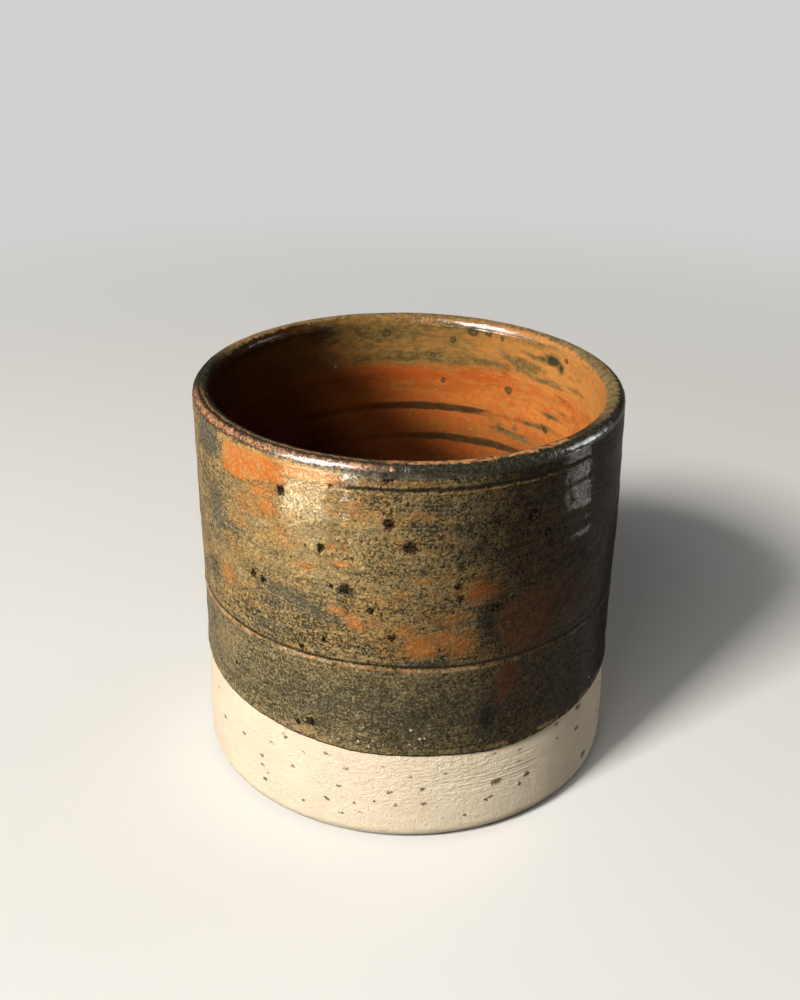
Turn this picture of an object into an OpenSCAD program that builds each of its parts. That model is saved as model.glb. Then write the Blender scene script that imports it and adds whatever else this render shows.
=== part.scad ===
// Yunomi tea cup. A straight stoneware cup thrown on the wheel, with no handle. It is glazed
// inside, over the lip and down the outside to a slanting dip line, and the clay below that
// line is bare.
// Millimetres. The cup stands on z = 0, centred on the z axis, and its front faces -y.

/* [Cup] */
// Height from the table to the top of the lip
cup_height = 80; // [72:1:90]
// Outside width over the glaze just under the lip
cup_width = 84; // [76:1:92]
// How far the wall swells outward at its fullest
belly_swell = 0.45; // [0:0.05:1.2]
// How far the bare band spreads outward at the foot
foot_swell = 0.8; // [0:0.05:1.6]

/* [Clay] */
// Thickness of the clay at the lip
lip_clay = 3; // [2:0.1:3.6]
// Thickness of the clay wall just above the floor
low_clay = 4.8; // [3.8:0.1:6]
// Thickness of the clay floor
floor_clay = 4.5; // [3.6:0.1:7]
// Radius where the inside wall turns into the floor
well_corner = 10; // [6:0.5:13]

/* [Foot] */
// Radius of the rounded bottom edge
foot_edge = 3.2; // [2:0.1:5]
// Width of the flat ring that the cup stands on
foot_ring = 7; // [5:0.5:10]
// Depth of the hollow turned under the cup
foot_hollow = 1.4; // [0.8:0.1:2.4]

/* [Glaze] */
// Thickness of each coat of glaze
glaze_coat = 0.4; // [0.3:0.05:0.6]
// How far the lip coat comes down the wall
lip_coat_fall = 3; // [2.6:0.1:4]
// Height of the dip line at the middle of the cup
dip_height = 23.3; // [18:0.1:28]
// Slant of the dip line, in degrees, down towards the front
dip_front_slant = 4.8; // [0:0.1:7]
// Slant of the dip line, in degrees, down towards the right
dip_side_slant = 2; // [0:0.1:4]

/* [Throwing rings] */
// Depth of each ring left by the potter's fingers
ring_depth = 0.2; // [0.1:0.05:0.25]
// Width of each ring
ring_width = 1; // [0.6:0.1:1.4]

/* [Hidden] */
$fn = 144;

// Heights up the wall, as shares of the cup's height
foot_share = 0.1;
waist_share = 0.3;
low_ring_share = 0.4975;
belly_share = 0.66;
shoulder_share = 0.85;
neck_share = 0.925;
high_ring_share = 0.936;
inner_ring_shares = [0.634, 0.725];

// Share of the belly's swell that is left at the shoulder, and of the wall's extra
// thickness that is left at the belly and the shoulder
shoulder_swell_share = 0.5;
belly_thick_share = 0.3;
shoulder_thick_share = 0.1;

// Overrun that lets one shape run past another that it cuts or joins
overrun = 1;

top_r = cup_width / 2 - glaze_coat;
belly_r = top_r + belly_swell;
shoulder_r = top_r + belly_swell * shoulder_swell_share;
foot_r = top_r + foot_swell;

foot_z = cup_height * foot_share;
waist_z = cup_height * waist_share;
low_ring_z = cup_height * low_ring_share;
belly_z = cup_height * belly_share;
shoulder_z = cup_height * shoulder_share;
neck_z = cup_height * neck_share;
high_ring_z = cup_height * high_ring_share;

lip_r = lip_clay / 2;
lip_z = cup_height - lip_r - glaze_coat;
coat_seam_z = cup_height - lip_coat_fall;

floor_z = foot_hollow + floor_clay;
corner_z = floor_z + well_corner;
inner_top_r = top_r - lip_clay;
thickening = low_clay - lip_clay;
inner_low_r = top_r - low_clay;
corner_r = inner_low_r - well_corner;

stand_r = foot_r - foot_edge;
hollow_r = stand_r - foot_ring;

// The lowest point that the dip line reaches on the wall
dip_reach = cup_width * (tan(dip_front_slant) + tan(dip_side_slant)) / 2;
coat_low_z = dip_height - dip_reach;

// Radius of the outside of the clay against height
clay_outside = [
    [foot_z, foot_r],
    [waist_z, top_r],
    [low_ring_z, top_r],
    [belly_z, belly_r],
    [shoulder_z, shoulder_r],
    [neck_z, top_r],
    [lip_z, top_r]
];

// Radius of the inside of the clay against height
clay_inside = [
    [corner_z, inner_low_r],
    [belly_z, inner_top_r - thickening * belly_thick_share],
    [shoulder_z, inner_top_r - thickening * shoulder_thick_share],
    [neck_z, inner_top_r],
    [lip_z, inner_top_r]
];

function outside_r(z) = lookup(z, clay_outside);
function inside_r(z) = lookup(z, clay_inside);

// The three points of a ring pressed into a wall, going up, where side is -1 on the outside
// of the cup and 1 on the inside
function ring_points(r, z, side) = [
    [r, z - ring_width / 2],
    [r + side * ring_depth, z],
    [r, z + ring_width / 2]
];

// Half section of the clay, without the round corner inside
module clay_half_section() {
    polygon([
        [0, foot_hollow],
        [hollow_r, foot_hollow],
        [hollow_r + foot_hollow, 0],
        [stand_r, 0],
        [stand_r, foot_edge],
        [foot_r, foot_edge],
        [foot_r, foot_z],
        [top_r, waist_z],
        [top_r, low_ring_z],
        [belly_r, belly_z],
        [shoulder_r, shoulder_z],
        [top_r, neck_z],
        [top_r, lip_z],
        [inner_top_r, lip_z],
        [inner_top_r, neck_z],
        [inside_r(shoulder_z), shoulder_z],
        [inside_r(belly_z), belly_z],
        [inner_low_r, corner_z],
        [inner_low_r, floor_z],
        [0, floor_z]
    ]);
    translate([stand_r, foot_edge])
        circle(r = foot_edge);
    translate([top_r - lip_r, lip_z])
        circle(r = lip_r);
}

// The clay that fills the sharp corner between the floor and the inside wall
module corner_half_section() {
    difference() {
        translate([corner_r, floor_z])
            square([well_corner, well_corner]);
        translate([corner_r, corner_z])
            circle(r = well_corner);
    }
}

// The hollow of the cup, coated to a thickness, up to a height
module well_half_section(coat, top_z, rings) {
    ring_zs = rings ? [for (share = inner_ring_shares) cup_height * share] : [];
    ring_rows = [for (z = ring_zs) each ring_points(inside_r(z) - coat, z, 1)];
    polygon(concat(
        [
            [0, floor_z + coat],
            [corner_r, floor_z + coat],
            [corner_r, corner_z],
            [inner_low_r - coat, corner_z]
        ],
        [for (p = ring_rows) if (p[1] < belly_z) p],
        [[inside_r(belly_z) - coat, belly_z]],
        [for (p = ring_rows) if (p[1] > belly_z) p],
        [
            [inside_r(shoulder_z) - coat, shoulder_z],
            [inner_top_r - coat, neck_z],
            [inner_top_r - coat, top_z],
            [0, top_z]
        ]
    ));
    translate([corner_r, corner_z])
        circle(r = well_corner - coat);
}

// The thrown and trimmed cup, one piece of fired clay
module stoneware_body() {
    color([0.86, 0.78, 0.65])
        rotate_extrude() {
            clay_half_section();
            corner_half_section();
        }
}

// Half section of the dipped coat, a straight-cut tube
module dipped_half_section() {
    waist_points = coat_low_z < waist_z ? [[top_r, waist_z]] : [];
    polygon(concat(
        [
            [outside_r(coat_low_z), coat_low_z],
            [outside_r(coat_low_z) + glaze_coat, coat_low_z]
        ],
        [for (p = waist_points) p + [glaze_coat, 0]],
        ring_points(top_r + glaze_coat, low_ring_z, -1),
        [
            [belly_r + glaze_coat, belly_z],
            [shoulder_r + glaze_coat, shoulder_z],
            [top_r + glaze_coat, neck_z]
        ],
        ring_points(top_r + glaze_coat, high_ring_z, -1),
        [
            [top_r + glaze_coat, coat_seam_z],
            [top_r, coat_seam_z],
            [top_r, neck_z],
            [shoulder_r, shoulder_z],
            [belly_r, belly_z],
            [top_r, low_ring_z]
        ],
        waist_points
    ));
}

// The coat left by dipping the cup upside down, with its slanting lower edge
module outer_glaze() {
    color([0.42, 0.36, 0.22])
        difference() {
            rotate_extrude()
                dipped_half_section();
            translate([0, 0, dip_height])
                rotate([dip_front_slant, dip_side_slant, 0])
                    translate([-cup_width, -cup_width, -cup_height])
                        cube([2 * cup_width, 2 * cup_width, cup_height]);
        }
}

// The second coat, over the lip and a little way down both faces of the wall
module lip_glaze() {
    color([0.5, 0.36, 0.24])
        rotate_extrude() {
            translate([top_r - lip_r, lip_z])
                difference() {
                    circle(r = lip_r + glaze_coat);
                    circle(r = lip_r);
                    translate([-lip_r - overrun, -lip_r - overrun])
                        square([lip_clay + 2 * overrun, lip_r + overrun]);
                }
            translate([top_r, coat_seam_z])
                square([glaze_coat, lip_z - coat_seam_z]);
            translate([inner_top_r - glaze_coat, coat_seam_z])
                square([glaze_coat, lip_z - coat_seam_z]);
        }
}

// The coat poured round the inside, from the floor up to the lip coat
module liner_glaze() {
    color([0.45, 0.28, 0.14])
        rotate_extrude()
            difference() {
                well_half_section(0, coat_seam_z, false);
                well_half_section(glaze_coat, coat_seam_z + overrun, true);
            }
}

stoneware_body();
outer_glaze();
lip_glaze();
liner_glaze();
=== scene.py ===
import math

import bpy
import numpy as np
from mathutils import Matrix


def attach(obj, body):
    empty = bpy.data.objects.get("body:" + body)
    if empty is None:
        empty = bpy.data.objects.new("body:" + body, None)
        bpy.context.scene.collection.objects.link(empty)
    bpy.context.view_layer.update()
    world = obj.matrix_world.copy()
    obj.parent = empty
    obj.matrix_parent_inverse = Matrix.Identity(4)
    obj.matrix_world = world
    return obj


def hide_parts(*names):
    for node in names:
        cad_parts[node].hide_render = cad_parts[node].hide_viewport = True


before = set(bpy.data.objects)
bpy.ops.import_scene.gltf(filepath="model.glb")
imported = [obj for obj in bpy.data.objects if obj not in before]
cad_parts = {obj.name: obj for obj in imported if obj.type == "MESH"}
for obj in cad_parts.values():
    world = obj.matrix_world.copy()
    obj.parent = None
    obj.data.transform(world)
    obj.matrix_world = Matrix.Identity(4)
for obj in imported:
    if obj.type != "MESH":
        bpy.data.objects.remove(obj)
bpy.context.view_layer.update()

# A straight stoneware tea cup, thrown on the wheel and dipped in an iron glaze. The shape
# functions work in millimetres, with angles round the cup counted from the front, positive
# towards the right as the camera sees it.
MM = 0.001

# Sizes of the cup
clay_top_r = 41.6
glaze_coat = 0.4
glaze_r = clay_top_r + glaze_coat
lip_half = 1.9
lip_top = 79.5
lip_fall = 0.5
seam_height = 77.0
floor_height = 5.9
corner_round = 10.0
inner_low_r = 36.8
corner_z = floor_height + corner_round
corner_r = inner_low_r - corner_round
foot_edge = 3.2
foot_ring = 7.0
foot_hollow = 1.4
hidden_gap = 0.03

# Columns of points round the cup, and how near the axis the last ring of points lies
columns = 640
pole_share = 0.03

# Above this height the rows of the inside wall lie closer, because the camera sees them
inner_shown = 45

# Height and outside radius of the clay, then height and inside radius of the liner glaze
outside_stations = [
    (0, 42.15), (8, 42.15), (16, 41.95), (24, 41.6), (40, 41.55), (46, 41.65), (53, 41.8),
    (62, 41.7), (70, 41.62), (74, 41.6), (80, 41.6),
]
inside_stations = [(0, 36.4), (16, 36.4), (53, 37.66), (68, 38), (74, 38.2), (80, 38.2)]

# How far the wall leans to the right at each height
lean_stations = [(0, 0), (20, 0.08), (33, 0.16), (50, 0.22), (62, 0.14), (72, 0), (80, 0)]

# Height of the dip line at the middle of the cup, its slants, how it wanders off them at each
# angle, and the height of its rolled edge
dip_height = 23.3
dip_front_slant = math.tan(math.radians(4.8))
dip_side_slant = math.tan(math.radians(2.0))
dip_wander = [
    (-180, 0), (-130, 0.3), (-75, -0.1), (-60, -0.2), (-40, 0.2), (-22, 0.12), (-10, 0), (0, 0.3),
    (10, 0.2), (20, -0.2), (30, -0.45), (40, 0), (60, 0.45), (75, 0.5), (120, -0.3), (180, 0),
]
edge_roll = 0.55

# Rings pressed by the fingers outside: height, then depth and half width of the groove, and
# height, drop and half width of the roll under it
low_ring = 39.9
low_ring_shape = (0.2, 0.38, 0.13, 0.85, 0.5)
high_ring = 75.05
high_ring_shape = (0.17, 0.3, 0.09, 0.6, 0.35)

# Rings inside: height and depth, then the groove's half width and the ripple over it
inner_rings = [(58, 0.12), (50.7, 0.12), (65.2, 0.05), (43, 0.1), (34, 0.1), (26, 0.1)]
inner_half = 0.6
ripple_share, ripple_rise, ripple_half = 0.6, 1.4, 1.0

# Lines that the turning tool left in the bare band: height and depth share
turning_lines = [
    (16.2, 0.6), (14.3, 0.5), (13.4, 1), (12.8, 0.8), (12, 1), (11.4, 0.9), (9.8, 0.4), (7.2, 0.3),
    (19, 0.3),
]

# Heights at which the rows of the clay's outside change: the lowest row hidden by the glaze,
# the top of the bare band's rows, and the top and bottom of its closest rows
hidden_low = 29
band_top = 28.6
tooled_top = 17.6
tooled_low = 9.0

# Iron spots burnt through the glaze: angle, height and radius
iron_spots = [
    (-32, 72, 1.15), (-5, 77.2, 1.25), (-4.8, 68.6, 1.3), (0.2, 64.2, 1.55), (-15.2, 55, 1.5),
    (-21.3, 62.5, 1.15), (-9, 51.3, 0.8), (-42, 53.2, 0.95), (-38.6, 52.6, 0.8), (11.8, 56.2, 0.8),
    (12.6, 53.6, 1), (21.8, 50.9, 1.25), (31.5, 67.5, 1.4), (-25.3, 25, 1.1), (-29, 24, 0.7),
    (36, 63.3, 1), (-4, 46, 0.85), (-21, 43.8, 0.7), (-27.5, 41.2, 0.7), (-8, 65.6, 0.45),
    (5.2, 65.4, 0.4), (-25.2, 62.2, 0.4), (-29.6, 59.4, 0.45), (-19, 55.4, 0.55), (7.6, 43.4, 0.5),
    (-18.5, 74.6, 0.5), (-52, 30, 0.6), (-11, 26, 0.4), (10.4, 77, 0.6), (95, 58, 1.1),
    (120, 66, 0.9), (142, 48, 1.2), (170, 70, 0.9), (-160, 55, 1.1), (-135, 44, 0.9),
    (-112, 68, 1.2), (-90, 50, 0.9), (-75, 60, 0.8), (75, 44, 0.9), (-148, 33, 0.8),
]
pit_depth = 0.12

# Painted glints: pale spots for the sparkle of small beads near the dip line: angle, height and
# radius
edge_glint_beads = [
    (-19.7, 21.8, 0.42), (-22.5, 21.4, 0.3), (-13.3, 21, 0.32), (-9.6, 21.8, 0.36),
    (-1.7, 21.4, 0.3), (1.2, 21.5, 0.26), (3.3, 24.1, 0.34), (4.4, 24.2, 0.3), (-14, 23.8, 0.28),
    (-11, 26, 0.24), (-31, 23.6, 0.28), (-25.6, 21.6, 0.24), (-6, 22.6, 0.22), (1, 26.1, 0.34),
    (5.5, 22.2, 0.24), (-37, 23.6, 0.28), (60, 24, 0.3), (95, 25, 0.34), (130, 27, 0.3),
    (175, 28, 0.32), (-140, 27.4, 0.34), (-100, 26, 0.3), (-75, 25, 0.28), (-19.2, 22.9, 0.3),
    (-17.6, 22.6, 0.35), (-14.6, 22.3, 0.25), (-12.4, 22.9, 0.35), (-9.6, 22.2, 0.3),
    (-8.6, 23.4, 0.25), (-2.6, 22.2, 0.3), (0.6, 22.9, 0.25), (2.2, 22.1, 0.3), (5.4, 22.6, 0.25),
]


def wave_noise(x, y, z, size, count, seed):
    """Smooth random relief between about -1 and 1: the sum of count plane waves in random
    directions, with wavelengths near size, over twice the root of half their number."""
    rng = np.random.default_rng(seed)
    way = rng.normal(size=(count, 3))
    way /= np.linalg.norm(way, axis=1)[:, None]
    way *= (2 * np.pi / size) * rng.uniform(0.6, 1.5, count)[:, None]
    start = rng.uniform(0, 2 * np.pi, count)
    total = np.zeros(np.broadcast(x, y, z).shape)
    for w, s in zip(way, start):
        total += np.cos(w[0] * x + w[1] * y + w[2] * z + s)
    return total / math.sqrt(count / 2) / 2


def along(value, stations):
    """Straight lines between the stations."""
    xs, ys = zip(*stations)
    return np.interp(value, xs, ys)


def eased(value, stations, spread):
    """The same lines with their corners rounded: the mean over a window of spread each way."""
    return np.mean([along(value + s, stations) for s in np.linspace(-spread, spread, 9)], axis=0)


def bump(value, middle, width):
    """A bell of height 1 at middle."""
    return np.exp(-((value - middle) / width) ** 2)


def step(value, low, high):
    """0 below low, 1 above high, and an s-curve between."""
    t = np.clip((value - low) / (high - low), 0, 1)
    return t * t * (3 - 2 * t)


def wrapped(turn):
    """The same angle between half a turn left and half a turn right, in radians."""
    return (turn + np.pi) % (2 * np.pi) - np.pi


def degrees_of(turn):
    return np.degrees(wrapped(turn))


def turn_grid(rows):
    """The angle of every column, for that many rows."""
    turn = np.linspace(0, 2 * np.pi, columns, endpoint=False)
    return np.broadcast_to(turn[None, :], (rows, columns))


def round_noise(turn, height, size, count, seed, stretch=1.0):
    """wave_noise on the wall: at the point at angle turn and a height divided by stretch."""
    r = clay_top_r
    return wave_noise(r * np.sin(turn), -r * np.cos(turn), height / stretch, size, count, seed)


def lean(turn, height):
    """How far the thrown wall stands off a true circle: it leans to the right by the lean
    stations, and is a little oval and three-cornered."""
    out = eased(height, lean_stations, 4) * np.sin(turn)
    out += 0.07 * np.cos(2 * turn + 1.1) + 0.04 * np.cos(3 * turn + 0.4 + height / 40)
    return out


def clay_outside(turn, height):
    """Radius of the clay's outside: the eased stations plus the lean."""
    return eased(height, outside_stations, 3) + lean(turn, height)


def clay_inside(turn, height):
    """Radius of the clay's inside, one coat behind the liner."""
    return eased(height, inside_stations, 3) + glaze_coat + lean(turn, height)


def dip_line(turn):
    """Height of the glaze's lower edge: a slanting plane across the wall, its wander, and two
    sizes of small waves."""
    slant = dip_front_slant * np.cos(turn) + dip_side_slant * np.sin(turn)
    flat = dip_height - clay_top_r * slant
    wander = eased(degrees_of(turn), dip_wander, 4)
    waves = 0.07 * round_noise(turn, 0 * turn, 2.5, 24, 5)
    return flat + wander + waves + 0.06 * round_noise(turn, 0 * turn, 1.4, 24, 6)


def finger_ring(height, middle, depth, half, roll, drop, roll_half):
    """A groove of that depth at middle, and a roll of clay under it."""
    return -depth * bump(height, middle, half) + roll * bump(height, middle - drop, roll_half)


def spot_relief(turn, height, spots, depth):
    """A pit with a raised rim at every spot."""
    out = np.zeros(np.broadcast(turn, height).shape)
    for degrees, z, r in spots:
        off = wrapped(turn - math.radians(degrees))
        d = np.hypot(off * clay_top_r, height - z) / r
        out += depth * (0.5 * bump(d, 1.05, 0.35) - bump(d, 0, 0.7))
    return out


def low_ring_height(turn):
    """Height of the lower finger ring, which sags a little right of the front."""
    degrees = degrees_of(turn)
    return low_ring - 0.5 * step(degrees, -12, 16) * step(-degrees, -150, -60)


def well_drift(turn):
    """How far the finger rings inside rise and fall round the cup."""
    return 0.5 * np.sin(turn + 1.0)


def outer_relief(turn, height):
    """Relief of the glazed outside: two finger rings with a roll under each, faint throwing
    rings that drift up and down, a pebbly skin, and pits at the iron spots. The throwing rings
    and the skin are calmer high on the left of the front."""
    degrees = degrees_of(turn)
    out = finger_ring(height, low_ring_height(turn), *low_ring_shape)
    fade = 0.15 + 0.85 * step(degrees, -20, -10) * step(-degrees, -60, -25)
    out += fade * finger_ring(height, high_ring, *high_ring_shape)
    drift = height + 0.5 * np.sin(turn + 0.7)
    calm = 1 - 0.9 * step(height, 55, 64) * bump(degrees, -28, 26)
    throwing = 0.035 * np.sin(2 * np.pi * drift / 7.3 + 1.2 * np.sin(turn))
    throwing += 0.02 * np.sin(2 * np.pi * drift / 3.1 + np.cos(2 * turn))
    skin = 0.022 * round_noise(turn, height, 3.0, 50, 11)
    skin += 0.014 * round_noise(turn, height, 1.3, 60, 12)
    out += calm * throwing + (0.3 + 0.7 * calm) * skin
    return out + spot_relief(turn, height, iron_spots, pit_depth)


def inner_relief(turn, height):
    """Relief of the glazed inside: finger rings, faint throwing rings and a soft skin."""
    out = np.zeros(np.broadcast(turn, height).shape)
    for z, depth in inner_rings:
        wavy = z + well_drift(turn)
        ripple = ripple_share * depth * bump(height, wavy + ripple_rise, ripple_half)
        out += depth * bump(height, wavy, inner_half) - ripple
    out += 0.03 * np.sin(2 * np.pi * height / 6.1 + np.sin(turn))
    return out + 0.02 * round_noise(turn, height, 3.2, 50, 21)


def glaze_outside(turn, height):
    """Radius of the outside of the glaze."""
    return clay_outside(turn, height) + glaze_coat + outer_relief(turn, height)


def glaze_inside(turn, height):
    """Radius of the inside of the glaze."""
    return clay_inside(turn, height) - glaze_coat + inner_relief(turn, height)


def chatter_share(turn, height):
    """How strongly the dry tool chattered: most at the right of the front, under the dip."""
    degrees = degrees_of(turn)
    front = (0.45 + 0.55 * bump(degrees, 20, 24)) * bump(degrees, 4, 38) * bump(height, 15.5, 7)
    return np.maximum(front, 0.4 * bump(degrees, -160, 60) * bump(height, 14, 6))


def clay_relief(turn, height):
    """Relief of the bare band: fine turning lines, a group of deeper ones at the right of the
    front, the chatter that a dry tool leaves, and broad unevenness."""
    degrees = degrees_of(turn)
    drift = height + 0.12 * np.sin(turn + 2)
    out = 0.008 * np.sin(2 * np.pi * drift / 2.3 + 0.4 * np.sin(turn))
    group = step(degrees, 2, 24) * step(-degrees, -38, -36)
    for z, depth in turning_lines:
        out -= (0.012 + 0.13 * group) * depth * bump(drift, z, 0.17)
    rough = 0.006 + 0.03 * chatter_share(turn, height)
    out += rough * round_noise(turn, height, 2.0, 60, 31, 2.8)
    return out + 0.02 * round_noise(turn, height, 5.0, 40, 32)


def add_sheet(name, radius, height, shown, strips, closed_loop=False, first_pole=None,
              last_pole=None, sharp_rows=()):
    """A piece of revolution: rows of points (radius, height) at every column round the cup.
    closed_loop joins the last row to the first; a pole closes an end with one point on the
    axis at that height. Faces run so that going down the rows with the cup's outside on the
    row side gives outward normals. shown is the slice of rows that can be seen, and strips
    is how many strips its map is cut into."""
    rows = radius.shape[0]
    turn = turn_grid(1)
    points = np.stack([radius * np.sin(turn), -radius * np.cos(turn), height], -1).reshape(-1, 3)
    index = np.arange(rows * columns).reshape(rows, columns)
    right = np.roll(index, -1, axis=1)
    quads = np.stack([index[:-1], index[1:], right[1:], right[:-1]], -1).reshape(-1, 4)
    if closed_loop:
        last = np.stack([index[-1], index[0], right[0], right[-1]], -1)
        quads = np.vstack([quads, last])
    down = rows_down(radius, height, shown, closed_loop, first_pole, last_pole)
    band = np.arange(rows if closed_loop else rows - 1)
    band_down = np.stack([down[band], down[band + 1], down[band + 1], down[band]], -1)
    places = [strip_places(band_down, (0, 0, 1, 1), strips)]
    fans = []
    ends = ((first_pole, 0, (0, 1, 2), 0.0), (last_pole, rows - 1, (0, 2, 1), 1.0))
    for pole, row, order, end in ends:
        if pole is None:
            continue
        points = np.vstack([points, [[0, 0, pole]]])
        fan = np.stack([np.full(columns, len(points) - 1), index[row], right[row]], -1)
        fans.append(fan[:, order])
        place = strip_places(np.array([[end, down[row], down[row]]]), (0.5, 0, 1), strips)
        places.append(place.reshape(-1, 3, 2)[:, order].reshape(-1, 2))
    corners = np.concatenate([faces.reshape(-1) for faces in [quads] + fans])
    sizes = np.concatenate([np.full(len(faces), faces.shape[1]) for faces in [quads] + fans])
    starts = np.concatenate([[0], np.cumsum(sizes)[:-1]])
    mesh = bpy.data.meshes.new(name)
    mesh.vertices.add(len(points))
    mesh.vertices.foreach_set("co", (points * MM).reshape(-1))
    mesh.loops.add(len(corners))
    mesh.loops.foreach_set("vertex_index", corners.astype(np.int32))
    mesh.polygons.add(len(sizes))
    mesh.polygons.foreach_set("loop_start", starts.astype(np.int32))
    mesh.polygons.foreach_set("loop_total", sizes.astype(np.int32))
    mesh.update(calc_edges=True)
    own_map = mesh.uv_layers.new(name="OFBake", do_init=False)
    own_map.uv.foreach_set("vector", np.concatenate(places).astype(np.float32).reshape(-1))
    mesh.validate()
    mesh.polygons.foreach_set("use_smooth", np.ones(len(sizes), bool))
    if sharp_rows:
        ends = np.empty(len(mesh.edges) * 2, np.int32)
        mesh.edges.foreach_get("vertices", ends)
        first, second = (ends.reshape(-1, 2) // columns).T
        in_ring = (first == second) & np.isin(first, [row % rows for row in sharp_rows])
        mesh.edges.foreach_set("use_edge_sharp", in_ring)
    piece = bpy.data.objects.new(name, mesh)
    bpy.context.scene.collection.objects.link(piece)
    return piece


def rows_down(radius, height, shown, closed_loop, first_pole, last_pole):
    """How far down the map each row lies, from 0 to 1: the length along the rows, of which
    a row that is never seen gets a twelfth. A closed loop ends with the first row again."""
    along_r, along_z = radius.mean(1), height.mean(1)
    if closed_loop:
        along_r, along_z = np.append(along_r, along_r[0]), np.append(along_z, along_z[0])
    length = np.hypot(np.diff(along_r), np.diff(along_z)) + 0.02
    seen = np.zeros(len(radius), bool)
    seen[shown] = True
    both = seen & np.roll(seen, -1)
    length *= np.where(both[: len(length)], 1.0, 1 / 12)
    start = 0.0 if first_pole is None else along_r[0]
    end = 0.0 if last_pole is None else along_r[-1]
    down = start + np.append(0.0, np.cumsum(length))
    return down / (down[-1] + end)


def strip_places(down, across, strips):
    """Map places of the faces of each band of rows: across the column for each corner, in
    strips that share the turn and lie one above the other with a small gap."""
    column = np.arange(columns)
    wide = columns // strips
    u = (column % wide)[:, None] + np.array(across, float)[None, :]
    u = 0.004 + 0.992 * u / wide
    v = (column // wide)[None, :, None] + 0.01 + 0.98 * down[:, None, :]
    both = np.broadcast_arrays(u[None], v / strips)
    return np.stack(both, -1).reshape(-1, 2)


def add_field(piece, name, values):
    """A number for every point of the piece, kept as an attribute that its material reads."""
    field = piece.data.attributes.new(name, "FLOAT", "POINT")
    full = np.zeros(len(piece.data.vertices), np.float32)
    full[: values.size] = values.reshape(-1)
    field.data.foreach_set("value", full)


def full_rows(values):
    """A column of heights or radii, carried round the whole cup."""
    return np.asarray(values, float).reshape(-1, 1) + np.zeros((1, columns))


def lip_points(turn, angle, half):
    """A point on the rounded lip: angle runs from 0 on the outside over the top to pi on the
    inside, round a circle of radius half about the middle of the wall, which dips to the right."""
    top = lip_top - lip_fall * np.sin(turn)
    middle_r = glaze_r - lip_half + lean(turn, top)
    middle_z = top - lip_half
    return middle_r + half * np.cos(angle), middle_z + half * np.sin(angle)


def make_outer_glaze():
    """The dipped coat: an outer skin from the seam down to the dip line, a rolled edge there
    whose thickness is a quarter circle, and a hidden skin back up against the clay."""
    low = dip_line(turn_grid(1))
    top = low + edge_roll
    top_rows = top + (seam_height - low - edge_roll) * np.linspace(1, 0, 116)[:, None]
    edge_share = np.array([0.8, 0.6, 0.42, 0.26, 0.12, 0.03, 0.0])[:, None]
    height = np.vstack([top_rows, low + edge_roll * edge_share])
    seen = len(height)
    turn = turn_grid(seen)
    d = np.clip((height - low) / edge_roll, 0, 1)
    thick = glaze_coat * np.sqrt(1 - (1 - d) ** 2)
    swell = 0.1 * bump(height - low, 0.75, 0.55)
    radius = clay_outside(turn, height) + thick + d * (outer_relief(turn, height) + swell)
    radius[-1] = clay_outside(turn[-1], height[-1]) - hidden_gap
    back = low + (seam_height - low) * np.linspace(0.02, 1, 10)[:, None]
    back_r = clay_outside(turn_grid(len(back)), back) - hidden_gap
    radius = np.vstack([radius, back_r])
    height = np.vstack([height, back])
    piece = add_sheet("outer_glaze_coat", radius, height, slice(0, seen), 2, closed_loop=True,
                      sharp_rows=(0, -1))
    add_fields(piece, turn_grid(len(height)), height)
    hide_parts("outer_glaze")
    return piece


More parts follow.
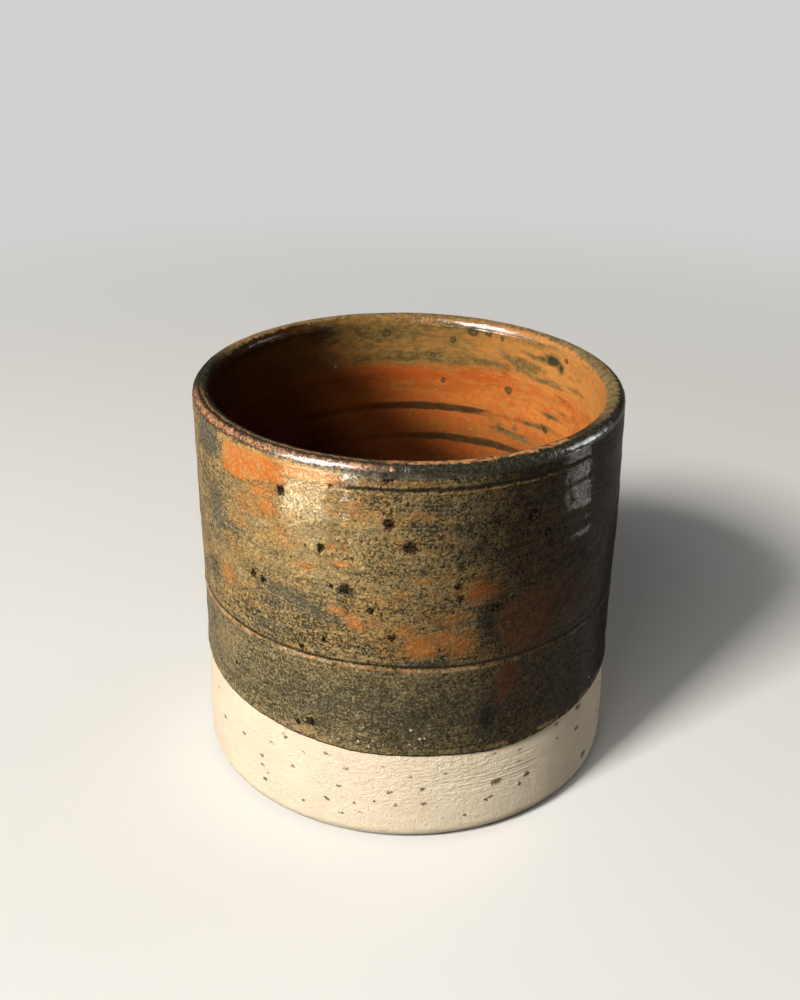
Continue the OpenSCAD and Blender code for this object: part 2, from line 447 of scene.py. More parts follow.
def make_lip_glaze():
    """The lip coat: up from the seam outside, over the rounded lip, down to the seam inside,
    and back under it against the clay. Each wall runs smoothly into the lip's circle."""
    wall = np.linspace(0, 1, 8)[:-1, None]
    down = wall[::-1]
    arc = np.linspace(0, np.pi, 34)[:, None]
    turn_wall = turn_grid(len(wall))
    turn_arc = turn_grid(len(arc))
    out_r, out_z = lip_points(turn_wall, 0 * wall, lip_half)
    rise_z = seam_height + (out_z - seam_height) * wall
    blend = step(wall, 0, 1)
    rise_r = glaze_outside(turn_wall, rise_z) * (1 - blend)
    rise_r += (out_r + outer_relief(turn_wall, rise_z)) * blend
    arc_r, arc_z = lip_points(turn_arc, arc, lip_half)
    skin = outer_relief(turn_arc, arc_z) * np.clip(np.cos(arc), 0, 1)
    skin = skin + inner_relief(turn_arc, arc_z) * np.clip(np.cos(arc), -1, 0)
    uneven = 0.05 * round_noise(turn_arc, arc * 2, 4.0, 40, 41)
    wavy = 0.04 * round_noise(turn_arc, arc * 2, 6.0, 40, 42) - 0.06
    arc_r = arc_r + skin + uneven * np.cos(arc)
    arc_z = arc_z + wavy * np.sin(arc)
    in_r, in_z = lip_points(turn_wall, np.pi + 0 * wall, lip_half)
    fall_z = seam_height + (in_z - seam_height) * down
    blend = step(down, 0, 1)
    fall_r = glaze_inside(turn_wall, fall_z) * (1 - blend)
    fall_r += (in_r + inner_relief(turn_wall, fall_z)) * blend
    back = np.linspace(np.pi, 0, 12)[:, None]
    under_r, under_z = lip_points(turn_grid(12), back, lip_half - glaze_coat - hidden_gap)
    ends_z = full_rows([seam_height])
    in_end = clay_inside(turn_grid(1), ends_z) + hidden_gap
    out_end = clay_outside(turn_grid(1), ends_z) - hidden_gap
    hidden = len(back) + 2
    radius = np.vstack([rise_r, arc_r, fall_r, in_end, under_r, out_end])[::-1]
    height = np.vstack([rise_z, arc_z, fall_z, ends_z, under_z, ends_z])[::-1]
    across = [0 * rise_z, arc / np.pi + 0 * arc_z, 1 + 0 * fall_z, np.zeros((hidden, columns))]
    piece = add_sheet("lip_glaze_coat", radius, height, slice(hidden, None), 5,
                      closed_loop=True, sharp_rows=(0, hidden - 1, hidden, -1))
    add_fields(piece, turn_grid(len(height)), height)
    add_field(piece, "across", np.vstack(across)[::-1])
    degrees = np.degrees(turn_grid(len(height))) % 360
    front_left = step(degrees, 272, 292) * step(-degrees, -358, -346)
    add_field(piece, "copper", np.maximum(front_left, 0.5 * bump(degrees, 200, 45)))
    add_field(piece, "tan_edge", np.maximum(step(degrees, 352, 358), step(-degrees, -52, -40)))
    far_left = step(-degrees, -262, -235)
    add_field(piece, "faded", step(degrees, 48, 72) * far_left)
    add_field(piece, "thin_back", step(degrees, 100, 135) * far_left)
    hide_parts("lip_glaze")
    return piece


def make_liner_glaze():
    """The poured coat: from the axis over the floor, round the corner and up the inside wall
    to the seam, then back down and under it against the clay to the axis."""
    share = np.linspace(pole_share, 1, 16)[:-1, None]
    floor_r = full_rows(corner_r * share)
    top_ripple = 0.12 * np.sin(2 * np.pi * floor_r / 6.5) * share
    floor_z = floor_height + glaze_coat + top_ripple
    arc = np.linspace(np.pi / 2, 0, 14)[:, None]
    turn = turn_grid(len(arc))
    shift = glaze_inside(turn, corner_z + 0 * turn) - (inner_low_r - glaze_coat)
    corner = corner_round - glaze_coat
    arc_r = corner_r + corner * np.cos(arc) + shift * (1 - arc / (np.pi / 2))
    arc_z = full_rows(corner_z - corner * np.sin(arc))
    rise = [
        np.linspace(corner_z, inner_shown, 31)[1:-1], np.linspace(inner_shown, seam_height, 66)]
    wall = full_rows(np.concatenate(rise))
    wall_r = glaze_inside(turn_grid(len(wall)), wall)
    fall = full_rows(np.linspace(seam_height, corner_z, 8)[:-1])
    fall_r = clay_inside(turn_grid(len(fall)), fall) + hidden_gap
    arc = np.linspace(0, np.pi / 2, 7)[:-1]
    back_r = full_rows(corner_r + (corner_round + hidden_gap) * np.cos(arc))
    back_z = full_rows(corner_z - (corner_round + hidden_gap) * np.sin(arc))
    under_r = full_rows(corner_r * np.linspace(1, pole_share, 5))
    under_z = floor_height - hidden_gap + 0 * under_r
    radius = np.vstack([floor_r, arc_r, wall_r, fall_r, back_r, under_r])
    height = np.vstack([floor_z, arc_z, wall, fall, back_z, under_z])
    seam = len(floor_r) + len(arc_r) + len(wall)
    piece = add_sheet("liner_glaze_coat", radius, height, slice(0, seam), 1,
                      first_pole=floor_height + glaze_coat, last_pole=floor_height - hidden_gap,
                      sharp_rows=(seam - 1, seam))
    add_fields(piece, turn_grid(len(height)), height)
    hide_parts("liner_glaze")
    return piece


def make_clay():
    """The thrown clay: from the axis inside, over the floor, up the inside wall, over the lip
    and down the outside to the rounded bottom edge, across the ring it stands on and up into
    the hollow turned under it."""
    sections = []
    floor_r = full_rows([pole_share * corner_r, corner_r])
    sections.append((floor_r, floor_height + 0 * floor_r))
    arc = np.linspace(np.pi / 2, 0, 5)[1:]
    corner = (corner_r + corner_round * np.cos(arc), corner_z - corner_round * np.sin(arc))
    sections.append([full_rows(values) for values in corner])
    rise = full_rows(np.linspace(corner_z, seam_height, 6)[1:])
    sections.append((clay_inside(turn_grid(len(rise)), rise), rise))
    arc = np.linspace(np.pi, 0, 8)[:, None]
    sections.append(lip_points(turn_grid(len(arc)), arc, lip_half - glaze_coat))
    fall = full_rows(np.linspace(seam_height, hidden_low, 6))
    hidden = sum(len(section[0]) for section in sections) + len(fall)
    sections.append((clay_outside(turn_grid(len(fall)), fall), fall))
    upper = np.linspace(band_top, tooled_top, 28)[:-1]
    middle = np.linspace(tooled_top, tooled_low, 50)[:-1]
    band = full_rows(np.concatenate([upper, middle, np.linspace(tooled_low, foot_edge, 14)]))
    turn = turn_grid(len(band))
    sections.append((clay_outside(turn, band) + clay_relief(turn, band), band))
    arc = np.linspace(0, np.pi / 2, 11)[1:, None]
    turn = turn_grid(len(arc))
    edge_height = foot_edge + 0 * turn
    edge_r = clay_outside(turn, edge_height) + clay_relief(turn, edge_height) * np.cos(arc)
    edge_r = edge_r - foot_edge * (1 - np.cos(arc))
    sections.append((edge_r, full_rows(foot_edge * (1 - np.sin(arc)))))
    across = np.linspace(0, 1, 7)[1:, None]
    ring_r = edge_r[-1:] - foot_ring * across
    sections.append((ring_r, full_rows(0.03 * (1 - np.cos(2 * np.pi * across)))))
    slope = np.array([0.1, 0.3, 0.6, 0.85, 1.0])[:, None]
    hollow_r = ring_r[-1:] - foot_hollow * slope
    sections.append((hollow_r, full_rows(foot_hollow * slope ** 0.8)))
    inner_r = hollow_r[-1:] * np.linspace(1, pole_share, 18)[1:, None]
    sections.append((inner_r, foot_hollow + 0.08 * np.sin(2 * np.pi * inner_r / 6.1)))
    radius, height = (np.vstack(part) for part in zip(*sections))
    piece = add_sheet("stoneware_cup", radius, height, slice(hidden, None), 2,
                      first_pole=floor_height, last_pole=foot_hollow)
    add_field(piece, "chatter", chatter_share(turn_grid(len(height)), height))
    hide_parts("stoneware_body")
    return piece


# A copper drop on the lip: angle, height and radius
lip_drop = [(-4.2, 79, 0.7)]

# Patches on the outside: angle, height, half width, half height and strength, then the tilt
# and the hardness where they aren't 0 and 1. Orange, where the iron broke to the surface
orange_patches = [
    (-47.2, 74.3, 4.7, 3.5, 1.3, 0, 2.4), (-40.5, 74.9, 5.6, 3, 1.3, 4, 2),
    (-33.6, 75, 3.4, 2.9, 1.1, 0, 1.4), (-25, 76.2, 7.4, 1.7, 1.1, 0, 1.6),
    (-17.4, 76.1, 2.6, 1.2, 1), (-38, 70.4, 5.4, 3.6, 0.9, 12), (-36.4, 68, 3.6, 3, 1),
    (-44, 67, 5.6, 3.4, 0.7), (-47, 63, 4.5, 2.4, 0.5), (-30, 63, 3, 2.4, 0.55),
    (-53, 49.4, 3.6, 4.6, 0.85), (-56, 37, 3.4, 4, 0.5), (-47, 56, 5, 2, 0.55),
    (-10, 70, 4.6, 2.6, 0.5), (-2, 64, 4, 1.6, 0.5), (-17.4, 50.4, 3.4, 1.3, 0.95, -8),
    (-13, 48.6, 3.4, 2.2, 1, -22), (-7, 48.6, 4.4, 2.4, 0.7), (-1, 47.4, 3.4, 2, 0.8),
    (-4, 44.6, 3, 1.4, 0.6), (3.2, 43.9, 4.6, 3.6, 1.15, -8), (9, 45.6, 4, 3.4, 0.95),
    (13.4, 43.8, 5, 4.2, 0.95), (10, 49.4, 7, 2.8, 0.8), (3, 50.6, 4.6, 2, 0.65),
    (17.2, 54.9, 4.8, 3.6, 1, 12), (21.4, 53.8, 3.4, 2.4, 0.9, -10), (11, 58, 3.6, 1.6, 0.55),
    (6, 54.4, 3, 1.6, 0.5), (3, 76.2, 7, 0.9, 0.75), (-8, 56, 6, 1.3, 0.5),
    (-13, 71, 5.4, 2.8, 0.74), (11, 64.8, 5.4, 2.8, 0.72), (3, 70.4, 5.4, 2.4, 0.72),
    (-20, 66, 5, 1.6, 0.45), (-27.5, 22.9, 3.6, 1.3, 1.15), (-20, 22.4, 2.4, 0.9, 0.85),
    (-14, 22, 2.4, 0.8, 0.7), (-5.3, 21.7, 1.3, 1, 0.8), (11.5, 23, 1.4, 0.9, 0.55),
    (-44, 23.4, 6, 0.7, 0.5), (-25.5, 58.3, 2, 0.8, 1), (-16.4, 60, 1.9, 0.9, 1.1),
    (-18.6, 63.2, 1.4, 1, 0.9), (-15, 63.4, 1, 0.8, 0.8), (-33, 64, 2.2, 1.4, 0.6),
    (-1, 55, 1.6, 1, 0.7), (4, 57.6, 1.8, 1.4, 0.7), (-25, 37.2, 2.4, 0.7, 0.6),
    (-8, 36.6, 4, 0.6, 0.55), (24, 42.6, 2.4, 1.4, 0.7), (-62, 75, 4, 4, 0.45), (68, 60, 5, 6, 0.7),
    (150, 60, 9, 4, 0.9), (118, 47, 6, 3.4, 0.8, 10), (100, 72, 6, 2, 0.6), (168, 64, 4, 3, 0.7),
    (-140, 70, 9, 4, 1.1, 0, 1.4), (-152, 66, 5, 3, 0.9), (-105, 52, 5, 5, 0.8),
    (-165, 43, 8, 2.8, 0.75), (-80, 66, 5, 3, 0.6),
]

# Tan areas with few specks. The second clears the specks as a painted highlight under the near left
# card
calm_patches = [
    (-34, 64, 15, 6, 1), (-25.5, 71, 5.5, 4.4, 1.2, 0, 1.5), (-22, 58, 9, 4.5, 0.85),
    (-9, 67, 9, 5, 0.6), (-52, 54, 7, 6, 0.8), (2, 62, 7, 2.4, 0.6), (-56, 33, 6, 6, 0.8),
    (10, 56, 7, 3, 0.6), (-5, 55, 8, 2.6, 0.5), (-2, 34, 10, 3, 0.5), (-38, 57, 8, 2.4, 0.8),
    (150, 66, 20, 8, 0.8), (-150, 58, 20, 8, 0.8), (-90, 68, 12, 7, 0.8), (-95, 40, 16, 6, 0.6),
    (110, 40, 18, 5, 0.5),
]

# Dark olive clouds, where the speckle closes up
olive_clouds = [
    (-31, 51.4, 8, 2.2, 0.95, -4), (-24, 49, 7, 2, 0.8, -8), (-36, 48.6, 6, 1.6, 0.7, 6),
    (-38, 43, 8, 2.8, 0.6), (-27, 44.6, 6, 2.4, 0.42), (-14, 43, 8, 2, 0.42),
    (5, 40.2, 7, 1.3, 0.9), (-12, 30, 38, 8.5, 0.62), (-8, 32, 8, 3, 0.7),
    (-24, 28.6, 7, 2.4, 0.75, 8), (2, 26, 9, 3.6, 0.8), (21, 27, 4, 5.2, 1.35),
    (21, 47.4, 2.8, 4.6, 1.15, 8), (23.4, 43, 2, 2, 0.8), (-57, 62, 4.4, 7, 0.8),
    (-62, 47, 2.6, 5, 0.5), (8, 78.2, 18, 1.5, 1.1, 0, 3), (-20, 79.2, 22, 0.9, 1, 0, 3),
    (-61.5, 76, 5.4, 4.6, 0.9, 0, 2), (120, 78.6, 80, 1.4, 1, 0, 3), (10, 71.6, 8, 1.8, 0.6),
    (-6, 73, 4, 1, 0.5), (14, 65, 8, 6, 0.5), (4, 67.8, 5, 1.6, 0.55), (-18, 54.6, 6, 1, 0.5),
    (-47, 60, 4, 1.2, 0.5), (180, 45, 60, 7, 0.7), (120, 60, 22, 8, 0.65), (-120, 57, 20, 7, 0.65),
    (150, 29, 60, 5, 0.7), (-130, 34, 30, 4, 0.7), (80, 50, 10, 5, 0.6),
]

# Red-brown glaze in the dark side
brown_patches = [
    (31.5, 46.5, 6.4, 6.6, 1.3, 0, 1.3), (26.5, 34.5, 3.6, 5.6, 0.9), (38, 47.5, 4.5, 4.6, 1),
    (52, 47, 5, 5, 0.7), (65, 48, 4, 5.4, 1), (85, 36, 9, 5, 0.8), (100, 60, 7, 8, 0.7),
]

# How dark the glaze turns round the outside, above and below the lower ring: angle, and the
# share of its colour that is left. It is partly darker glaze and partly painted light: a painted
# sheen leaves it lightest on the left of the front, and painted shade darkens it to the right
side_shades = [
    (-180, 0.8), (-80, 0.85), (-62, 0.85), (-52, 0.98), (-44, 1), (-14, 1), (-10, 0.9), (-5, 0.72),
    (3, 0.62), (11, 0.44), (20, 0.30), (32, 0.50), (45, 0.66), (60, 0.62), (180, 0.8),
]
low_shades = [
    (-180, 0.75), (-80, 0.85), (-62, 0.9), (-52, 1), (-20, 0.95), (-12, 0.86), (-5, 0.68),
    (3, 0.57), (11, 0.46), (20, 0.39), (29, 0.76), (44, 1), (54, 0.72), (64, 0.6), (180, 0.75),
]
# How deep the dark specks are on the upper wall: angle and share
deep_shares = [
    (-180, 0.9), (-70, 0.85), (-52, 0.6), (-42, 0.5), (-24, 0.55), (-12, 0.85), (0, 1), (180, 1),
]

# Painted highlight: where the dark specks are made faint under the highlight of the near left card,
# so
# that it shows solid: angle, height, half width, half height, tilt and hardness
under_highlight_place = (-25.5, 71.2, 4.8, 4.0, 0, 2)

# How far round the painted shadow on the left goes inside: height and angle from the middle of the
# back
inside_shadow_reach = [(40, 32), (46, 26), (50, 18), (57, 6), (65, -4), (71, -16), (75, -19), (80, -26)]

# Patches inside, with angles from the middle of the back wall towards the right
inside_olive = [
    (44, 77.2, 14, 1.4, 0.7), (68, 75, 7, 3, 0.5, 20), (34, 73, 5, 1, 0.6, -14),
    (-30, 76.2, 5.6, 2.6, 1.25, 0, 2), (-8, 75.6, 16, 3.4, 0.85), (18, 77.4, 12, 1.6, 0.75),
    (2, 70, 20, 1.9, 0.9), (26, 70.4, 13, 1.6, 0.8), (50, 69.6, 9, 1.2, 0.8),
    (53.6, 74.7, 3, 1.3, 1.7, 4, 1.2), (57.6, 73.7, 1.3, 1.4, 1.4), (49, 74.3, 2.4, 0.8, 1.2),
    (45, 74, 5, 0.7, 1, -6), (38, 54.4, 9, 1.4, 0.85), (30, 57.4, 8, 1, 0.6), (54, 62, 4, 0.7, 1.1),
    (66, 70.6, 6, 0.8, 0.8), (50, 58.8, 7, 1, 1, 4), (41, 71.4, 9, 2.2, 0.9), (30, 68.6, 5, 1, 0.6),
    (60, 64, 4, 0.5, 0.8), (33, 55.6, 1.2, 2.4, 0.85), (39, 56, 0.9, 2.2, 0.8), (62, 73, 6, 1, 0.6),
    (-14, 72.6, 4, 0.8, 0.8), (180, 74, 60, 5, 0.75), (-110, 70, 30, 3, 0.8), (120, 66, 30, 3, 0.7),
    (180, 40, 90, 5, 0.55),
]
inside_red = [
    (-4, 66.2, 22, 2.4, 1), (26, 66.6, 14, 2, 0.95), (34.5, 68.4, 1.9, 3.4, 1.05, 10),
    (20, 68.6, 8, 1, 0.7), (61, 67, 7, 1, 0.95), (14, 56.4, 8, 1.4, 0.85), (-6, 54, 8, 2.6, 0.7),
    (16, 48.8, 12, 1.6, 0.8), (34, 64.6, 6, 1, 0.55), (150, 60, 40, 3, 0.6), (-120, 52, 40, 3, 0.6),
]

# Where the finger rings inside fill with dark glaze
inside_rings = [
    (6, 58.3, 17, 1, 1.5, 0, 2), (40, 58.3, 9, 0.6, 0.9, 0, 2), (21, 51, 17, 1, 1.5, 0, 2),
    (28, 55.2, 12, 0.4, 0.7, 0, 2), (0, 65.6, 22, 0.35, 0.55, 0, 2),
    (150, 58.4, 50, 0.8, 1.1, 0, 2), (-130, 51, 45, 0.8, 1.1, 0, 2), (0, 43, 120, 0.8, 1, 0, 2),
    (20, 34, 120, 0.8, 0.9, 0, 2), (0, 26, 120, 0.8, 0.9, 0, 2),
]

# Spots inside: angle from the middle of the back wall, height and radius
inside_spots = [
    (22, 76.9, 0.95), (-7.5, 75.4, 0.85), (27.5, 76.9, 0.6), (15, 74.4, 0.6), (8.5, 70.4, 0.45),
    (35.8, 64.8, 0.75), (12, 64.7, 0.5), (52, 58.6, 0.7), (-25, 68.8, 0.5), (32.5, 76.3, 0.5),
    (60, 76, 0.5), (-12.5, 72.8, 0.4), (130, 71, 0.8), (-100, 66, 0.7), (170, 58, 0.8),
    (-150, 74, 0.6),
]
well_r = 38.2


def patch(turn, height, degrees, z, half_wide, half_tall, tilt=0.0, hard=1.0):
    """A soft patch: 1 inside, falling to 0 past its half width and half height, which are
    lengths on the wall, turned by tilt degrees. It is an oval, and nearer a box if hard."""
    x = wrapped(turn - math.radians(degrees)) * clay_top_r
    y = height - z
    c, s = math.cos(math.radians(tilt)), math.sin(math.radians(tilt))
    wide = np.abs((x * c + y * s) / half_wide)
    tall = np.abs((y * c - x * s) / half_tall)
    return np.exp(-np.clip(wide, 0, 4) ** (2 * hard) - np.clip(tall, 0, 4) ** (2 * hard))


def patches(turn, height, rows):
    """The strongest patch at every point."""
    out = np.zeros(np.broadcast(turn, height).shape)
    for degrees, z, wide, tall, strength, *turned in rows:
        out = np.maximum(out, strength * patch(turn, height, degrees, z, wide, tall, *turned))
    return out


def add_fields(piece, turn, height):
    """Gives a glazed piece its patch fields, its shades, and its heights above the rings and
    the dip line."""
    degrees = degrees_of(turn)
    round_back = np.pi - turn
    inside = (np.degrees(round_back) + 180) % 360 - 180
    upper = step(height, 44, 56)
    shade = along(degrees, side_shades) * upper + along(degrees, low_shades) * (1 - upper)
    deep = along(degrees, deep_shares) * (1 - 0.5 * patch(turn, height, *under_highlight_place))
    above_low_ring = height - low_ring_height(turn)
    # Painted shadow: the lip shades the left of the inside from the lamp; it is weaker low down
    left = step(along(height, inside_shadow_reach) - inside, -18, 20) * step(inside, -170, -120)
    round_fields = {
        "orange": patches(turn, height, orange_patches),
        "cloud": patches(turn, height, olive_clouds),
        "calm": patches(turn, height, calm_patches),
        "brown": patches(turn, height, brown_patches),
        "above_edge": height - dip_line(turn),
        "above_low_ring": above_low_ring,
        "low_zone": 1 - step(above_low_ring, -1.2, -0.6),
        # Painted shade on the right of the front and round the side, over darker glaze
        "dark_shaded_side": step(degrees, 8, 34) * step(-degrees, -115, -64),
        "ring_shade": 0.9 * step(degrees, -18, -13) * step(-degrees, -60, -20),
        "shade": shade,
        "deep": deep * upper + 1.0 - upper,
        "shadow_left_in": left * (0.3 + 0.7 * step(height, 22, 42)),
        "right_in": step(inside, 8, 55) * step(-inside, -175, -110),
        "level": height - well_drift(turn),
        "ring_in": patches(round_back, height, inside_rings),
        "olive_in": patches(round_back, height, inside_olive),
        "red_in": patches(round_back, height, inside_red),
    }
    for name, values in round_fields.items():
        add_field(piece, name, values + 0 * height)


class Finish:
    """A material's node tree. Each call adds one node, or a few, and gives the last one's
    output. Sizes are in millimetres."""

    def __init__(self, name):
        self.material = bpy.data.materials.new(name)
        self.material.use_nodes = True
        self.nodes = self.material.node_tree.nodes
        self.links = self.material.node_tree.links
        self.nodes.clear()
        self.place = self.nodes.new("ShaderNodeTexCoord").outputs["Object"]
        self.shader = self.nodes.new("ShaderNodeBsdfPrincipled")
        output = self.nodes.new("ShaderNodeOutputMaterial")
        self.links.new(self.shader.outputs[0], output.inputs["Surface"])

    def put(self, socket, value):
        if isinstance(value, bpy.types.NodeSocket):
            self.links.new(value, socket)
        elif isinstance(value, (tuple, list)) and len(value) == 3 and socket.type == "RGBA":
            socket.default_value = (*value, 1.0)
        else:
            socket.default_value = value

    def flattened(self, times, shift=(0, 0, 0), place=None):
        """Coordinates in which a pattern lies that many times flatter than it is wide."""
        node = self.nodes.new("ShaderNodeMapping")
        self.put(node.inputs["Vector"], place or self.place)
        node.inputs["Scale"].default_value = (1, 1, times)
        node.inputs["Location"].default_value = shift
        return node.outputs[0]

    def noise(self, size, detail=2.0, rough=0.5, place=None, color=False):
        node = self.nodes.new("ShaderNodeTexNoise")
        self.put(node.inputs["Vector"], place or self.place)
        node.inputs["Scale"].default_value = 1 / (size * MM)
        node.inputs["Detail"].default_value = detail
        node.inputs["Roughness"].default_value = rough
        return node.outputs["Color" if color else "Fac"]

    def cells(self, size, place, out="Distance"):
        node = self.nodes.new("ShaderNodeTexVoronoi")
        self.put(node.inputs["Vector"], place)
        node.inputs["Scale"].default_value = 1 / (size * MM)
        return node.outputs[out]

    def warped(self, size, amount):
        """Coordinates pushed about by noise of that size, by about that amount."""
        push = self.noise(size, color=True)
        centred = self.vector("SUBTRACT", push, (0.5, 0.5, 0.5))
        scaled = self.vector("SCALE", centred, scale=2 * amount * MM)
        return self.vector("ADD", self.place, scaled)

    def vector(self, operation, a, b=None, scale=None):
        node = self.nodes.new("ShaderNodeVectorMath")
        node.operation = operation
        self.put(node.inputs[0], a)
        if b is not None:
            self.put(node.inputs[1], b)
        if scale is not None:
            node.inputs["Scale"].default_value = scale
        return node.outputs["Value" if operation == "DISTANCE" else "Vector"]

    def math(self, operation, a, b=0.0, c=None):
        node = self.nodes.new("ShaderNodeMath")
        node.operation = operation
        self.put(node.inputs[0], a)
        self.put(node.inputs[1], b)
        if c is not None:
            self.put(node.inputs[2], c)
        return node.outputs[0]

    def add(self, a, b):
        return self.math("ADD", a, b)

    def times(self, a, b):
        return self.math("MULTIPLY", a, b)

    def times_add(self, a, b, c):
        return self.math("MULTIPLY_ADD", a, b, c)

    def less(self, a, b):
        return self.math("SUBTRACT", a, b)

    def ramp(self, value, low, high, start=0.0, end=1.0):
        """start where value is at low, end where it is at high, and an s-curve between."""
        node = self.nodes.new("ShaderNodeMapRange")
        node.interpolation_type = "SMOOTHSTEP"
        self.put(node.inputs["Value"], value)
        self.put(node.inputs["From Min"], low)
        self.put(node.inputs["From Max"], high)
        self.put(node.inputs["To Min"], start)
        self.put(node.inputs["To Max"], end)
        return node.outputs[0]

    def line(self, value, middle, half):
        """1 where value is at middle, falling to 0 at half either side."""
        return self.ramp(self.math("ABSOLUTE", self.less(value, middle)), half, 0.25 * half)

    def mix(self, share, a, b):
        node = self.nodes.new("ShaderNodeMix")
        node.data_type = "RGBA"
        self.put(node.inputs[0], share)
        self.put(node.inputs[6], a)
        self.put(node.inputs[7], b)
        return node.outputs[2]

    def turning(self, value, low, high, a, b, most=1.0):
        """Colour a where value is at low, turning to b by at most that share at high."""
        return self.mix(self.ramp(value, low, high, 0.0, most), a, b)

    def field(self, name):
        node = self.nodes.new("ShaderNodeAttribute")
        node.attribute_name = name
        return node.outputs["Fac"]

    def height_of(self):
        node = self.nodes.new("ShaderNodeSeparateXYZ")
        self.put(node.inputs[0], self.place)
        return self.times(node.outputs[2], 1 / MM)

    def bump(self, height, depth):
        node = self.nodes.new("ShaderNodeBump")
        node.inputs["Strength"].default_value = 1.0
        node.inputs["Distance"].default_value = depth * MM
        self.put(node.inputs["Height"], height)
        return node.outputs[0]

    def spots(self, rows, radius, place):
        """0 outside the spots and up to 1 in them: rows are angle, height and radius."""
        total = None
        for degrees, z, r in rows:
            a = math.radians(degrees)
            middle = (radius * math.sin(a) * MM, -radius * math.cos(a) * MM, z * MM)
            away = self.vector("DISTANCE", place, middle)
            one = self.ramp(away, r * 1.1 * MM, r * 0.6 * MM)
            total = one if total is None else self.math("MAXIMUM", total, one)
        return total

    def varied(self, value, spread, size, detail=4.0, rough=0.65, place=None):
        """A value with noise of that size added, up to about spread either way."""
        noise = self.noise(size, detail, rough, place)
        return self.add(value, self.times_add(noise, 8 * spread, -4 * spread))

    def twice_varied(self, value, broad, fine):
        """A value with a broad and a fine noise added, each given as for varied."""
        return self.varied(self.varied(value, *broad), *fine)

    def glassy(self, normal, weight=0.28, rough=0.1):
        """A thin clear gloss over the colour, as fired glaze has."""
        self.shader.inputs["Specular IOR Level"].default_value = 0.0
        self.put(self.shader.inputs["Coat Weight"], weight)
        self.shader.inputs["Coat IOR"].default_value = 1.4
        self.shader.inputs["Coat Roughness"].default_value = rough
        self.put(self.shader.inputs["Coat Normal"], normal)

    def finish(self, color, roughness, normal=None):
        self.put(self.shader.inputs["Base Color"], color)
        self.put(self.shader.inputs["Roughness"], roughness)
        if normal is not None:
            self.put(self.shader.inputs["Normal"], normal)
        return self.material


# Colours of the speckled outside: the ground and its orange patches
ochre, dull_ochre = (0.56, 0.375, 0.155), (0.47, 0.33, 0.14)
amber, grey_ochre, brown_ochre = (0.59, 0.315, 0.095), (0.36, 0.295, 0.16), (0.29, 0.21, 0.095)
bright_orange, soft_orange = (0.63, 0.185, 0.036), (0.58, 0.26, 0.075)
rust_orange, tan_orange = (0.50, 0.20, 0.048), (0.52, 0.29, 0.10)
cloud_ground, low_ground = (0.36, 0.31, 0.20), (0.37, 0.312, 0.172)
# The specks, from the palest to the darkest, and the clouds over them
khaki, comb_brown, vein_olive = (0.225, 0.16, 0.066), (0.11, 0.085, 0.045), (0.075, 0.075, 0.045)
olive_black, green_black = (0.056, 0.046, 0.020), (0.038, 0.039, 0.022)
cloud_olive, cloud_black = (0.19, 0.167, 0.11), (0.028, 0.026, 0.02)
cloud_brown = (0.07, 0.058, 0.036)
# The dark side: umber that is partly darker glaze and partly painted shade
umber, deep_umber = (0.024, 0.015, 0.008), (0.011, 0.008, 0.005)
red_brown, dull_red_brown = (0.095, 0.034, 0.0135), (0.062, 0.026, 0.0115)
# The rings with painted highlights on their rolls, the rolled edge, the iron spots and the painted
# glints of the beads
low_ring_black, high_ring_black = (0.02, 0.015, 0.01), (0.014, 0.011, 0.008)
edge_black = (0.022, 0.014, 0.01)
roll_highlight_pale, roll_highlight_orange, lit_roll = (0.52, 0.35, 0.18), (0.52, 0.23, 0.075), (0.34, 0.23, 0.10)
edge_tan, glint_cream = (0.40, 0.27, 0.125), (0.72, 0.64, 0.48)
iron_black, iron_brown = (0.006, 0.005, 0.004), (0.085, 0.05, 0.027)


